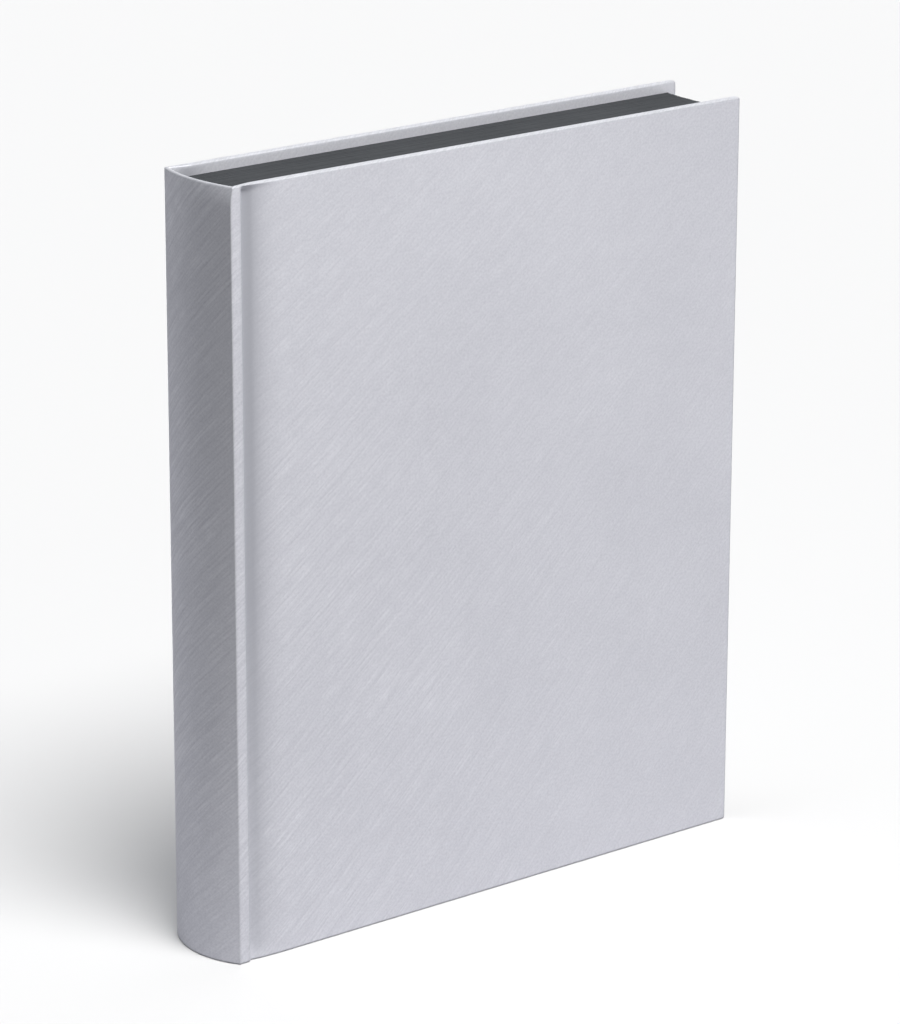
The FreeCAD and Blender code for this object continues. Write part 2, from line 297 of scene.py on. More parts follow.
def make_wide_lamp():
    lamp = bpy.data.lights.new("wide_lamp", "SUN")
    lamp.energy = SUN_STRENGTH
    lamp.angle = math.radians(SUN_WIDTH)
    hang_lamp(lamp, direction_to(SUN_AZIMUTH, SUN_HEIGHT), (0, 0, 0))


def make_head_lamp():
    lamp = bpy.data.lights.new("head_lamp", "AREA")
    lamp.energy = HEAD_LAMP_WATTS
    lamp.size = HEAD_LAMP_SIZE
    hang_lamp(lamp, HEAD_LAMP_PLACE, (0, 0, HEIGHT * HEAD_LAMP_AIM))


make_wide_lamp()
make_head_lamp()
bpy.context.scene.view_settings.view_transform = "Standard"
print(f"wide lamp: {SUN_WIDTH:.0f} degrees across, {SUN_HEIGHT:.1f} degrees up")

# %% [markdown]
# ## The camera
# A long lens from well back keeps the cover's edges nearly parallel. The camera stands to the left
# of the front cover, so that the spine shows too, and looks a little down, so that the black head
# of the block shows between the covers.

# %% Camera
CAMERA_AZIMUTH = -38.53
CAMERA_ELEVATION = 17.58
CAMERA_ROLL = 0.12
CAMERA_DISTANCE = 1.7531
AIM_RIGHT = -1.6 * MM
AIM_UP = 0.4 * MM
LENS = 160.04
SENSOR = 36.0
CLIP_START = 0.05


def make_camera():
    backwards = direction_to(CAMERA_AZIMUTH, CAMERA_ELEVATION)
    target = (cad_box[0] + cad_box[1]) / 2
    data = bpy.data.cameras.new("camera")
    data.lens = LENS
    data.sensor_width = SENSOR
    data.sensor_height = SENSOR
    data.clip_start = CLIP_START
    camera = bpy.data.objects.new("camera", data)
    turned = backwards.to_track_quat("Z", "Y").to_matrix().to_4x4()
    roll = Matrix.Rotation(math.radians(CAMERA_ROLL), 4, "Z")
    aim = turned @ Vector((AIM_RIGHT, AIM_UP, 0))
    place = Matrix.Translation(target + aim + backwards * CAMERA_DISTANCE)
    camera.matrix_world = place @ turned @ roll
    bpy.context.scene.collection.objects.link(camera)
    bpy.context.scene.camera = camera
    return camera


print("camera at", [round(c, 4) for c in make_camera().location])

# %% [markdown]
# ## Shader groups
# Cloth, card and paper all come from fibres, so they share a few effects. Each effect is built once
# as a node group with named inputs, and every material places it with values of its own. A group
# gives out only values, and the shader that uses them stays in the material, where it can be
# exported.

# %% Helpers for groups
SOCKETS = {
    tuple: "NodeSocketVector",
    float: "NodeSocketFloat",
    int: "NodeSocketInt",
    bpy.types.Material: "NodeSocketMaterial",
}
ORIGIN = (0.0, 0.0, 0.0)
NOISE_MIDDLE = (0.3, 0.7)


def new_group(name, inputs, outputs, kind="ShaderNodeTree", output_type=SOCKETS[float]):
    """An empty node group with named sockets: its tree, its given inputs, and its last node."""
    tree = bpy.data.node_groups.new(name, kind)
    for label, value in inputs.items():
        socket = tree.interface.new_socket(
            label, in_out="INPUT", socket_type=SOCKETS[type(value)]
        )
        socket.default_value = value
    for label in outputs:
        tree.interface.new_socket(label, in_out="OUTPUT", socket_type=output_type)
    given = tree.nodes.new("NodeGroupInput").outputs
    return tree, given, tree.nodes.new("NodeGroupOutput")


def group_in(tree, name, values):
    """The outputs of a shader group that is placed in a material."""
    placed = add_node(tree, "ShaderNodeGroup", node_tree=bpy.data.node_groups[name])
    return fill(tree, placed, values).outputs


def vector_maths(tree, operation, values):
    """The vector that a Vector Math node gives."""
    return add_node(tree, "ShaderNodeVectorMath", values, operation=operation).outputs["Vector"]


def scaled(tree, vector, factor):
    """A vector times a number."""
    return vector_maths(tree, "SCALE", {"Vector": vector, "Scale": factor})


def combined(tree, *values):
    """A vector from its parts."""
    return add_node(tree, "ShaderNodeCombineXYZ", dict(enumerate(values))).outputs[0]


def noise_at(tree, vector, detail=2.0, roughness=0.5, scale=1.0, output="Fac"):
    """Noise, read at a vector."""
    inputs = {"Vector": vector, "Scale": scale, "Detail": detail, "Roughness": roughness}
    return add_node(tree, "ShaderNodeTexNoise", inputs).outputs[output]


def evened(tree, noise):
    """Noise spread over 0 to 1, because it seldom leaves its middle."""
    return ranged(tree, noise, *NOISE_MIDDLE)


def centred(tree, value):
    """A value from 0 to 1 moved to lie on both sides of 0."""
    return maths(tree, "SUBTRACT", value, 0.5)


def product(tree, first, *others):
    """Values multiplied together."""
    for other in others:
        first = maths(tree, "MULTIPLY", first, other)
    return first


def summed(tree, total, *parts):
    """A number with other values added to it, each times its own share."""
    for value, share in parts:
        total = maths(tree, "MULTIPLY_ADD", value, share, total)
    return total


print("kinds of socket:", ", ".join(SOCKETS.values()))

# %% [markdown]
# ### Brushed strokes
# The silver coat on the cloth was wiped on in long sweeps of an arm, so its fine lines rise to the
# right and grow steeper on the way, and they spread like a fan towards the tail. Noise that is
# stretched along such a sweep gives them. One direction of the noise follows the sweep, a
# parabola, and the other counts across it. A second, finer noise beside it gives the hairs.

# %% Brushed strokes
SPINE_SLOPE = 0.95
COVER_SLOPE = 0.70
COVER_BEND = 1.3
SWEEP_FAN = 1.2
SPINE_RUN = 0.043
STROKE_LENGTH = 20 * MM
STROKE_WIDTH = 1.5 * MM
WAVER = 1.2 * MM
WAVER_SCALE = 70.0
HAIRS_SHORTER = 2.3
HAIRS_THINNER = 2.1
HAIRS_SEED = 11.3


def build_brushed_strokes():
    tree, given, result = new_group(
        "brushed_strokes",
        {
            "Place": ORIGIN,
            "Spine Run": SPINE_RUN,
            "Spine Slope": SPINE_SLOPE,
            "Cover Slope": COVER_SLOPE,
            "Cover Bend": COVER_BEND,
            "Sweep Fan": SWEEP_FAN,
            "Middle Height": HEIGHT / 2,
            "Stroke Length": STROKE_LENGTH,
            "Stroke Width": STROKE_WIDTH,
            "Waver": WAVER,
            "Seed": 0.0,
        },
        ["Strokes", "Hairs"],
    )
    across_cloth, up_cloth = parted(tree, given["Place"])[:2]
    on_spine = maths(tree, "MINIMUM", across_cloth, given["Spine Run"])
    on_cover = maths(tree, "SUBTRACT", across_cloth, on_spine)
    steeper = maths(tree, "MULTIPLY_ADD", on_cover, given["Cover Bend"], given["Cover Slope"])
    below_middle = maths(tree, "SUBTRACT", given["Middle Height"], up_cloth)
    fan = maths(tree, "MULTIPLY_ADD", below_middle, given["Sweep Fan"], 1.0)
    sweep = product(tree, on_cover, steeper, fan)
    sweep = maths(tree, "MULTIPLY_ADD", on_spine, given["Spine Slope"], sweep)
    drift = centred(tree, noise_at(tree, scaled(tree, given["Place"], WAVER_SCALE)))
    off_sweep = maths(tree, "SUBTRACT", up_cloth, sweep)
    off_sweep = maths(tree, "MULTIPLY_ADD", drift, given["Waver"], off_sweep)
    along = maths(tree, "DIVIDE", across_cloth, given["Stroke Length"])
    across = maths(tree, "DIVIDE", off_sweep, given["Stroke Width"])
    coarse = combined(tree, along, across, given["Seed"])
    strokes = noise_at(tree, coarse, detail=3.0, roughness=0.6)
    fine = combined(
        tree,
        maths(tree, "MULTIPLY", along, HAIRS_SHORTER),
        maths(tree, "MULTIPLY", across, HAIRS_THINNER),
        maths(tree, "ADD", given["Seed"], HAIRS_SEED),
    )
    hairs = noise_at(tree, fine, roughness=0.6)
    fill(tree, result, {"Strokes": evened(tree, strokes), "Hairs": evened(tree, hairs)})


build_brushed_strokes()
print(f"group brushed_strokes: slope {SPINE_SLOPE} on the spine, {COVER_SLOPE} and up on the cover")

# %% [markdown]
# ### Woven threads
# Book cloth is a plain weave under its coat, and the mull on the block's spine is an open one. Two
# rows of waves at right angles give a weave, and a little slow noise in their place keeps the
# threads from running dead straight. A second, finer noise gives the slubs: threads that are
# thicker here and there.

# %% Woven threads
TURN = 2 * math.pi
WANDER_SCALE = 0.13
SLUB_SCALE = 0.45


def build_woven_threads():
    tree, given, result = new_group(
        "woven_threads",
        {"Place": ORIGIN, "Pitch": 0.4 * MM, "Wander": 0.3},
        ["Threads", "Slubs"],
    )
    counted = scaled(tree, given["Place"], maths(tree, "DIVIDE", 1.0, given["Pitch"]))
    loose = noise_at(tree, counted, scale=WANDER_SCALE, output="Color")
    loose = vector_maths(tree, "SUBTRACT", {0: loose, 1: (0.5, 0.5, 0.5)})
    moved = vector_maths(tree, "ADD", {0: counted, 1: scaled(tree, loose, given["Wander"])})
    warp, weft = (
        maths(tree, "SINE", maths(tree, "MULTIPLY", axis, TURN)) for axis in parted(tree, moved)[:2]
    )
    crossing = ranged(tree, maths(tree, "MULTIPLY", warp, weft), -1.0, 1.0)
    slubs = noise_at(tree, moved, roughness=0.6, scale=SLUB_SCALE)
    fill(tree, result, {"Threads": crossing, "Slubs": evened(tree, slubs)})


build_woven_threads()
print("group woven_threads: waves both ways, one to a thread")

# %% [markdown]
# ### Fibres and mottle
# Paper, card and board are felted fibres. Close up, short fibres lie every way, and from further
# off the tone drifts a little. Stretched noise in two directions makes the first, and large soft
# noise the second. Everything made of fibre shares this group, and the cloth uses its mottle.

# %% Fibres
MOTTLE_SIZE = 50 * MM
FELTED = (0.4, 0.75)


def build_fibres():
    tree, given, result = new_group(
        "fibres",
        {
            "Place": ORIGIN,
            "Fibre Length": 3 * MM,
            "Fibre Width": 0.3 * MM,
            "Mottle Size": MOTTLE_SIZE,
        },
        ["Fibres", "Mottle"],
    )
    axes = parted(tree, given["Place"])
    length, width = given["Fibre Length"], given["Fibre Width"]
    layers = []
    for sizes in ((length, width, width), (width, width, length)):
        stretched = [maths(tree, "DIVIDE", axis, size) for axis, size in zip(axes, sizes)]
        layers.append(noise_at(tree, combined(tree, *stretched), roughness=0.55))
    felted = ranged(tree, maths(tree, "MAXIMUM", *layers), *FELTED)
    large = scaled(tree, given["Place"], maths(tree, "DIVIDE", 1.0, given["Mottle Size"]))
    mottle = noise_at(tree, large, detail=3.0)
    fill(tree, result, {"Fibres": felted, "Mottle": evened(tree, mottle)})


build_fibres()
print(f"group fibres: mottle {MOTTLE_SIZE / MM:.0f} mm wide unless a material says otherwise")

# %% [markdown]
# ## Silver cloth
# The coat's strokes show most strongly beside the spine. They grow fainter out on the cover,
# towards the head of the cover and at the foot of the spine, and they break up in patches. That
# fading is partly painted sheen, for the way grazing light picks the strokes out. So the strength
# of the strokes is a product of several ranges, read along the cloth and up it. The back cover has
# the same finish, mirrored about the middle of the spine. Strokes, hairs, slubs and clouds then
# add up to one tone, which sets both the colour and the gloss. On the edges the coat is darker,
# partly as rubbed wear and partly as painted shade, so that the top edges don't shine too bright,
# and the shoulders get the same darker colour. In the grooves the colour is darkened with painted
# shade, where the groove's walls turn away from the light.

# %% Silver cloth
CLOTH_SHADOW = (0.588, 0.587, 0.628)
CLOTH_LIGHT = (0.843, 0.841, 0.876)
# Rubbed wear and painted shade: the darker colour of the edges, which keeps the top edges from
# shining too bright.
CLOTH_WORN_AND_SHADED = (0.42, 0.424, 0.444)
# Painted shade: the colour that the cloth in the grooves beside the spine is darkened towards.
CLOTH_GROOVE_SHADE = (0.46, 0.465, 0.50)
GROOVE_SHADE_SHARE = 0.85
THREAD_PITCH = 0.45 * MM
BODY_MOTTLE = 60 * MM
CLOUD_MOTTLE = 6.5 * MM
# Each of these is a range in metres or in noise, and what the value becomes at its two ends.
# The first five fade the strokes out from the spine and up the cloth. That fading is partly painted
# sheen, for the way grazing light picks the strokes out.
BESIDE_SPINE = (0.035, 0.07, 1.45, 1.1)
OUT_ON_COVER = (0.05, 0.22, 1.0, 0.4)
UP_THE_COVER = (0.14, 0.27, 1.1, 0.6)
UP_THE_SPINE = (0.0, 0.11, 0.55, 1.0)
SPINE_TO_COVER = (0.04, 0.055, 1.0, 0.0)
IN_PATCHES = (0.2, 0.8, 0.75, 1.2)
IN_CLOUDS = (0.2, 0.8, 0.6, 1.3)
CLOUDS_OUTWARDS = (0.05, 0.2, 1.3, 1.0)
WORN_SHADED_IN_HAIRS = (0.2, 0.8, 0.6, 0.95)
CLOTH_ROUGHNESS = (0.2, 0.8, 0.52, 0.44)
# How much each layer adds to the tone, and to the relief.
STROKE_TONE, HAIR_TONE, SLUB_TONE, CLOUD_TONE, BODY_TONE = 0.42, 0.11, 0.35, 0.09, 0.14
STROKE_RELIEF, HAIR_RELIEF, THREAD_RELIEF = 0.6, 0.25, 0.25
CLOTH_RELIEF = 0.02 * MM
RELIEF_STRENGTH = 0.8


def new_material(name):
    """A material with nodes, its tree, and its Principled shader."""
    material = bpy.data.materials.new(name)
    material.use_nodes = True
    return material, material.node_tree, material.node_tree.nodes["Principled BSDF"]


def relief(tree, height, distance, strength=1.0):
    """The normals of a surface with relief of a given height in metres."""
    inputs = {"Height": height, "Distance": distance, "Strength": strength}
    return add_node(tree, "ShaderNodeBump", inputs).outputs[0]


def value_on_mesh(tree, label):
    """A value that is kept on the points of the mesh."""
    return add_node(tree, "ShaderNodeAttribute", attribute_name=label).outputs["Fac"]


# Partly painted sheen: the strokes are strongest where grazing light picks them out, beside the
# spine.
def stroke_strength(tree, run_out, up_cloth, patches, clouds):
    """How strong the strokes are at a point of the cloth."""
    cover_height = ranged(tree, up_cloth, *UP_THE_COVER)
    spine_height = ranged(tree, up_cloth, *UP_THE_SPINE)
    spine_more = maths(tree, "SUBTRACT", spine_height, cover_height)
    spine_share = ranged(tree, run_out, *SPINE_TO_COVER)
    return product(
        tree,
        ranged(tree, run_out, *BESIDE_SPINE),
        ranged(tree, run_out, *OUT_ON_COVER),
        maths(tree, "MULTIPLY_ADD", spine_share, spine_more, cover_height),
        ranged(tree, patches, *IN_PATCHES),
        ranged(tree, clouds, *IN_CLOUDS),
    )


def silver_cloth():
    material, tree, surface = new_material("silver_cloth")
    place = add_node(tree, "ShaderNodeUVMap", uv_map="cloth").outputs[0]
    brushed = group_in(tree, "brushed_strokes", {"Place": place})
    woven = group_in(tree, "woven_threads", {"Place": place, "Pitch": THREAD_PITCH})
    body = group_in(tree, "fibres", {"Place": place, "Mottle Size": BODY_MOTTLE})["Mottle"]
    cloudy = group_in(tree, "fibres", {"Place": place, "Mottle Size": CLOUD_MOTTLE})["Mottle"]
    across_cloth, up_cloth = parted(tree, place)[:2]
    off_middle = maths(tree, "ABSOLUTE", maths(tree, "SUBTRACT", across_cloth, SPINE_RUN / 2))
    run_out = maths(tree, "ADD", off_middle, SPINE_RUN / 2)
    strength = stroke_strength(tree, run_out, up_cloth, body, cloudy)
    strokes = maths(tree, "MULTIPLY", centred(tree, brushed["Strokes"]), strength)
    hairs = centred(tree, brushed["Hairs"])
    evenly = ranged(tree, run_out, *CLOUDS_OUTWARDS)
    clouds = maths(tree, "MULTIPLY", centred(tree, cloudy), evenly)
    tone = summed(
        tree,
        0.5,
        (strokes, STROKE_TONE),
        (hairs, HAIR_TONE),
        (centred(tree, woven["Slubs"]), SLUB_TONE),
        (clouds, CLOUD_TONE),
        (centred(tree, body), BODY_TONE),
    )
    coat = mixed_colour(tree, tone, CLOTH_SHADOW, CLOTH_LIGHT)
    fold = value_on_mesh(tree, "fold")
    # Rubbed wear and painted shade on the edges and the shoulders, broken up by the hairs.
    wear_and_shade = maths(tree, "MULTIPLY", fold, ranged(tree, brushed["Hairs"], *WORN_SHADED_IN_HAIRS))
    coat = mixed_colour(tree, wear_and_shade, coat, CLOTH_WORN_AND_SHADED)
    # Painted shade in the grooves: the cloth is darkened where the groove's walls turn away from
    # the light.
    groove_darkening = maths(tree, "MULTIPLY", value_on_mesh(tree, "pressed"), GROOVE_SHADE_SHARE)
    height = maths(tree, "MULTIPLY", hairs, HAIR_RELIEF)
    height = summed(tree, height, (strokes, STROKE_RELIEF), (woven["Threads"], THREAD_RELIEF))
    finish = {
        "Base Color": mixed_colour(tree, groove_darkening, coat, CLOTH_GROOVE_SHADE),
        "Roughness": ranged(tree, tone, *CLOTH_ROUGHNESS),
        "Metallic": 0.4,
        "Specular IOR Level": 0.35,
        "Normal": relief(tree, height, CLOTH_RELIEF, RELIEF_STRENGTH),
    }
    fill(tree, surface, finish)
    return material


MATERIALS = {"silver_cloth": silver_cloth()}
print("silver_cloth: threads", round(THREAD_PITCH / MM, 2), "mm apart")

# %% [markdown]
# ## Papers and boards
# Black leaves, endpapers, grey board, the spine's card and its kraft lining are all felted fibre.
# They differ only in colour, in the size of their fibres and in how rough they are, so one function
# makes them all from a table.

# %% Papers and boards
# Dark and light colour, length and width of the fibres in mm, roughness, and relief in mm.
PAPERS = {
    "black_leaves": ((0.032, 0.0345, 0.037), (0.053, 0.0565, 0.061), 2.0, 0.2, 0.9, 0.02),
    "endpaper": ((0.035, 0.036, 0.040), (0.052, 0.053, 0.058), 3.0, 0.25, 0.85, 0.015),
    "grey_board": ((0.20, 0.19, 0.175), (0.34, 0.325, 0.30), 2.5, 0.4, 0.95, 0.06),
    "spine_card": ((0.42, 0.38, 0.31), (0.55, 0.50, 0.42), 2.0, 0.3, 0.85, 0.02),
    "lining_paper": ((0.36, 0.25, 0.15), (0.50, 0.37, 0.24), 4.0, 0.3, 0.8, 0.02),
}
FIBRE_TONE, MOTTLE_TONE = 0.6, 0.4
SMOOTHER_IN_MOTTLE = 0.08


def fibre_material(name, dark, light, length, width, roughness, height):
    """A material of felted fibres, between a dark and a light colour."""
    material, tree, surface = new_material(name)
    sizes = {"Fibre Length": length * MM, "Fibre Width": width * MM, "Mottle Size": MOTTLE_SIZE}
    felt = group_in(tree, "fibres", {"Place": node_place(tree), **sizes})
    tone = maths(tree, "MULTIPLY", felt["Fibres"], FIBRE_TONE)
    tone = summed(tree, tone, (felt["Mottle"], MOTTLE_TONE))
    smoother = roughness - SMOOTHER_IN_MOTTLE
    finish = {
        "Base Color": mixed_colour(tree, tone, dark, light),
        "Roughness": ranged(tree, felt["Mottle"], 0.0, 1.0, roughness, smoother),
        "Specular IOR Level": 0.25,
        "Normal": relief(tree, felt["Fibres"], height * MM),
    }
    fill(tree, surface, finish)
    return material


for name, row in PAPERS.items():
    MATERIALS[name] = fibre_material(name, *row)
    print(f"{name}: fibres {row[2]} x {row[3]} mm")

# %% [markdown]
# Black dyed card is never quite one black. Each leaf of the block keeps a random value of its own,
# and where that value is low the leaf is a touch darker.

# %% Tones of the leaves
LEAF_DARK = (0.03, 0.032, 0.036)
LEAF_DARKER = 0.45


def tone_the_leaves(material):
    tree = material.node_tree
    base = tree.nodes["Principled BSDF"].inputs["Base Color"]
    dyed = base.links[0].from_socket
    darker = ranged(tree, value_on_mesh(tree, "leaf_tone"), 0.0, 1.0, LEAF_DARKER, 0.0)
    tree.links.new(mixed_colour(tree, darker, dyed, LEAF_DARK), base)


tone_the_leaves(MATERIALS["black_leaves"])
print("black_leaves: up to", LEAF_DARKER, "of the way to a darker black")

# %% [markdown]
# ## Mull
# Mull is a thin cotton cloth, woven open and stiffened with starch. On the back of a block it shows
# as pale threads, with dark glue in the meshes between them. The woven group gives it with a wide
# pitch, read across and up the spine.

# %% Mull
MULL_GLUE = (0.30, 0.27, 0.21)
MULL_THREAD = (0.66, 0.63, 0.55)
MULL_PITCH = 1.6 * MM
MULL_WANDER = 0.5
MULL_RELIEF = 0.1 * MM
MULL_THREAD_EDGE = (0.35, 0.65)
MULL_ROUGHNESS = (0.7, 0.95)


def mull_weave():
    material, tree, surface = new_material("mull_weave")
    up_the_spine = combined(tree, *parted(tree, node_place(tree))[1:])
    values = {"Place": up_the_spine, "Pitch": MULL_PITCH, "Wander": MULL_WANDER}
    tone = ranged(tree, group_in(tree, "woven_threads", values)["Threads"], *MULL_THREAD_EDGE)
    finish = {
        "Base Color": mixed_colour(tree, tone, MULL_GLUE, MULL_THREAD),
        "Roughness": ranged(tree, tone, 0.0, 1.0, *MULL_ROUGHNESS),
        "Normal": relief(tree, tone, MULL_RELIEF),
    }
    fill(tree, surface, finish)
    return material


MATERIALS["mull"] = mull_weave()
print("mull: threads", round(MULL_PITCH / MM, 2), "mm apart")
print("materials:", ", ".join(MATERIALS))

# %% [markdown]
# ## The shape of the case
# Look down on the album's head and the case is one long line: out along the back cover, round the
# spine, and back along the front cover. It can be drawn as one path that is measured by the run of
# the cloth, from the back shoulder. The groove beside the spine is a dip in that path, where the
# cloth was pressed in between board and spine while the glue was wet. The dip fades at the head
# and the tail, where the turned-in cloth is stiff.

# %% The groove
GROOVE_AT = np.array([0, 0.9, 1.5, 3.0, 4.2, 5.4, 7.0, 9.0, 11.5, 14.5, 18.0]) * MM
GROOVE_FALL = np.array([0, 1.8, 2.0, 1.62, 1.27, 0.93, 0.68, 0.44, 0.22, 0.07, 0]) * MM
# Where the painted groove shade lies across the joint, and how strong it is there; it is weaker at
# the tail.
GROOVE_SHADE_AT = np.array([-1.2, -0.2, 0.8, 1.5, 4.4, 5.6, 7.0, 8.5, 10.0, 12.0, 14.0, 18.0]) * MM
GROOVE_SHADE_LEVELS = np.array([0, 0.3, 0.85, 1.0, 1.0, 0.85, 0.66, 0.48, 0.34, 0.2, 0.1, 0])
TAIL_GROOVE_SHADE = 0.5
HEAD_SHALLOW, HEAD_REACH = 0.93, 1.1 * MM
TAIL_SHALLOW, TAIL_REACH = 0.45, 4 * MM


def arc_run(rise):
    """The run of cloth round an arc that spans the album's thickness."""
    radius = (rise**2 + FACE**2) / (2 * rise)
    return 2 * radius * math.asin(FACE / radius)


ROUND_RUN = (arc_run(SHOULDER - CROWN_AT_TAIL) + arc_run(SHOULDER - CROWN_AT_HEAD)) / 2
CLOTH_RUN = ROUND_RUN + FORE_EDGE - SHOULDER


def near_the_ends(height):
    """1 along the groove, close to 0 at the head edge, and about a half at the tail edge."""
    head = 1 - HEAD_SHALLOW * np.exp(-(((HEIGHT - height) / HEAD_REACH) ** 2))
    return head * (1 - TAIL_SHALLOW * np.exp(-((height / TAIL_REACH) ** 2)))


def joint_profile(x, height):
    """Depth of the outer face below the cover's plane, across the groove and the board's edge."""
    return np.interp(x - GROOVE_START, GROOVE_AT, GROOVE_FALL) * near_the_ends(height)


def painted_groove_shade(run, height):
    """How much painted shade darkens the cloth at a point in and beside the groove, from 0 to 1."""
    beside = np.interp(run - ROUND_RUN - (GROOVE_START - SHOULDER), GROOVE_SHADE_AT, GROOVE_SHADE_LEVELS)
    up_the_joint = TAIL_GROOVE_SHADE + (1 - TAIL_GROOVE_SHADE) * np.clip(height / (HEIGHT / 2), 0, 1)
    return beside * up_the_joint * near_the_ends(height)


print(f"groove {GROOVE_FALL.max() / MM:.1f} mm deep")
print(f"cloth: {ROUND_RUN / MM:.1f} mm round the spine,",
      f"{CLOTH_RUN / MM:.1f} mm from the back shoulder to the fore-edge")

# %% [markdown]
# ### One path for the whole case
# The spine is an arc and the covers are straight, so the sharp path is two formulas joined at the
# shoulders. Cloth never turns a corner sharply. The path is averaged over a short window, and that
# rounds every corner of it. The inward direction turns over a wider window than the place does, so
# that the inner face never crosses itself at a shoulder.

# %% The path of the cloth
SHOULDER_PULL = 1.1 * MM
PULL_HEIGHT = 8 * MM
CARD = 0.6 * MM
SPINE_DEPTH = 2 * CLOTH + CARD
LEAST_DEPTH = 0.75 * MM
ROUNDING = 0.75 * MM
SPREAD = 1.9 * MM
WINDOW_STEPS = 13
WINDOW_EDGE = 0.02


def pulled(run, height, pull):
    """How far the turn-in at the head pulls the front shoulder in."""
    near_head = np.clip((height - (HEIGHT - PULL_HEIGHT)) / PULL_HEIGHT, 0, 1)
    return pull * near_head**2 * np.clip(run / ROUND_RUN, 0, 1) ** 2


def sharp_path(run, height, pull):
    """Place, inward direction and depth of the case, with all its corners still sharp."""
    shoulder = SHOULDER + pulled(run, height, pull)
    crown = CROWN_AT_TAIL + (CROWN_AT_HEAD - CROWN_AT_TAIL) * height / HEIGHT
    rise = SHOULDER - crown
    radius = (rise**2 + FACE**2) / (2 * rise)
    turn = np.arcsin(FACE / radius) * (1 - 2 * np.clip(run / ROUND_RUN, 0, 1))
    past = np.maximum(np.maximum(-run, run - ROUND_RUN), 0)
    side = np.where(run < ROUND_RUN / 2, 1.0, -1.0)
    flat = past > 0
    flank = FLANK_END - SHOULDER
    squeezed = shoulder + past * (FLANK_END - shoulder) / flank
    x_flat = np.where(past < flank, squeezed, SHOULDER + past)
    dip = joint_profile(x_flat, height)
    x = np.where(flat, x_flat, crown + radius * (1 - np.cos(turn)) + pulled(run, height, pull))
    y = np.where(flat, side * (FACE - dip), radius * np.sin(turn))
    inward_x = np.where(flat, 0.0, np.cos(turn))
    inward_y = np.where(flat, -side, -np.sin(turn))
    joined = np.clip((x_flat - SHOULDER) / (GROOVE_END - SHOULDER), 0, 1)
    cover_depth = SPINE_DEPTH + (COVER_DEPTH - SPINE_DEPTH) * joined
    cover_depth = np.maximum(cover_depth - dip, LEAST_DEPTH)
    depth = np.where(flat, cover_depth, SPINE_DEPTH)
    return np.stack([x, y, inward_x, inward_y, depth], axis=-1)


def averaged_path(run, height, pull, window):
    """The same, averaged over a window of the run."""
    offsets = np.linspace(-1, 1, WINDOW_STEPS)
    weights = np.cos(offsets * math.pi / 2) ** 2 + WINDOW_EDGE
    total = sum(w * sharp_path(run + o * window, height, pull) for o, w in zip(offsets, weights))
    return total / weights.sum()


def case_path(run, height, pull=SHOULDER_PULL):
    """The same, with its corners rounded."""
    path = averaged_path(run, height, pull, ROUNDING)
    inward = averaged_path(run, height, pull, SPREAD)[..., 2:4]
    path[..., 2:4] = inward / np.hypot(inward[..., :1], inward[..., 1:])
    return path


def sunk(path, depth):
    """The x and y of points that lie so deep below the path."""
    return path[:, 0] + path[:, 2] * depth, path[:, 1] + path[:, 3] * depth


crown = case_path(np.array([ROUND_RUN / 2]), np.array([HEIGHT / 2]))[0]
print(f"crown half way up: x {crown[0] / MM:.2f} mm, and the case {crown[4] / MM:.2f} mm thick")

# %% [markdown]
# ## Wrapping the covering cloth
# The cloth lies on the face, turns over the board's edge, and is glued down inside, with mitred
# corners. It is modelled as it is made: a grid over the face, and then a row of rings. Each ring is
# the cover's outline, moved in by an inset and down by a depth. The first rings go round the outer
# edge, the next ones round the inner edge, and the last ones lie on the inside. Solidify then gives
# the sheet its real thickness. The place of each point on the flat cloth is kept as a UV map, so
# that the brushed lines run on unbroken round every edge.

# %% Rings
EDGE_ROUND = 0.6 * MM
EDGE_STEPS = 4
TURN_IN = 15 * MM
INNER_INSETS = (1.5 * MM, 4 * MM, 8 * MM, TURN_IN)
# How far the edges are darkened, as rubbed wear and painted shade, beside the face, over the edge
# and round it.
WORN_SHADED_AT_FACE = 0.4
WORN_SHADED_ON_EDGE = 0.35
WORN_SHADED_ON_ROUND = 0.25


def worn_and_shaded(turn):
    """How far an edge is darkened, as rubbed wear and painted shade: least beside the face, most
    half way round.
    """
    on_edge = WORN_SHADED_ON_EDGE * math.sin(turn)
    return WORN_SHADED_AT_FACE + on_edge + WORN_SHADED_ON_ROUND * math.sin(2 * turn)


def wrap_rings():
    """(inset, depth from the outer face, share of the full depth, fold) for each ring."""
    turns = [math.pi / 2 * step / EDGE_STEPS for step in range(EDGE_STEPS + 1)]
    outer = [
        (EDGE_ROUND * (1 - math.sin(turn)), EDGE_ROUND * (1 - math.cos(turn)), 0, worn_and_shaded(turn))
        for turn in turns
    ]
    inner = [(inset, -fall, 1, fold) for inset, fall, _, fold in reversed(outer)]
    return outer + inner + [(inset, 0, 1, 0) for inset in INNER_INSETS]


print(len(wrap_rings()), "rings, the last", TURN_IN / MM, "mm in from the edge")

# %% Rows and columns
CORNER_ROUND = 1.0 * MM
# A zone is how far the close rows or columns reach from a corner, a shoulder or a groove.
END_ZONE = CORNER_ROUND + 16 * MM
ROW_STEPS = (1.1 * MM, 14 * MM, 1.1 * MM)
COLUMN_STEPS = tuple(step * MM for step in (0.15, 1.2, 0.15, 0.4, 0.2, 0.6, 9.0))
SHOULDER_ZONE = 1.2 * MM
FLANK_ZONE = (-0.6 * MM, 6.5 * MM)
BEVEL_ZONE = 2 * MM
LENGTH_DIGITS = 7
TINY = 1e-9


def spaced(start, end, step):
    """Numbers from start to end in even steps near a given size."""
    return np.linspace(start, end, max(2, int(round((end - start) / step)) + 1))


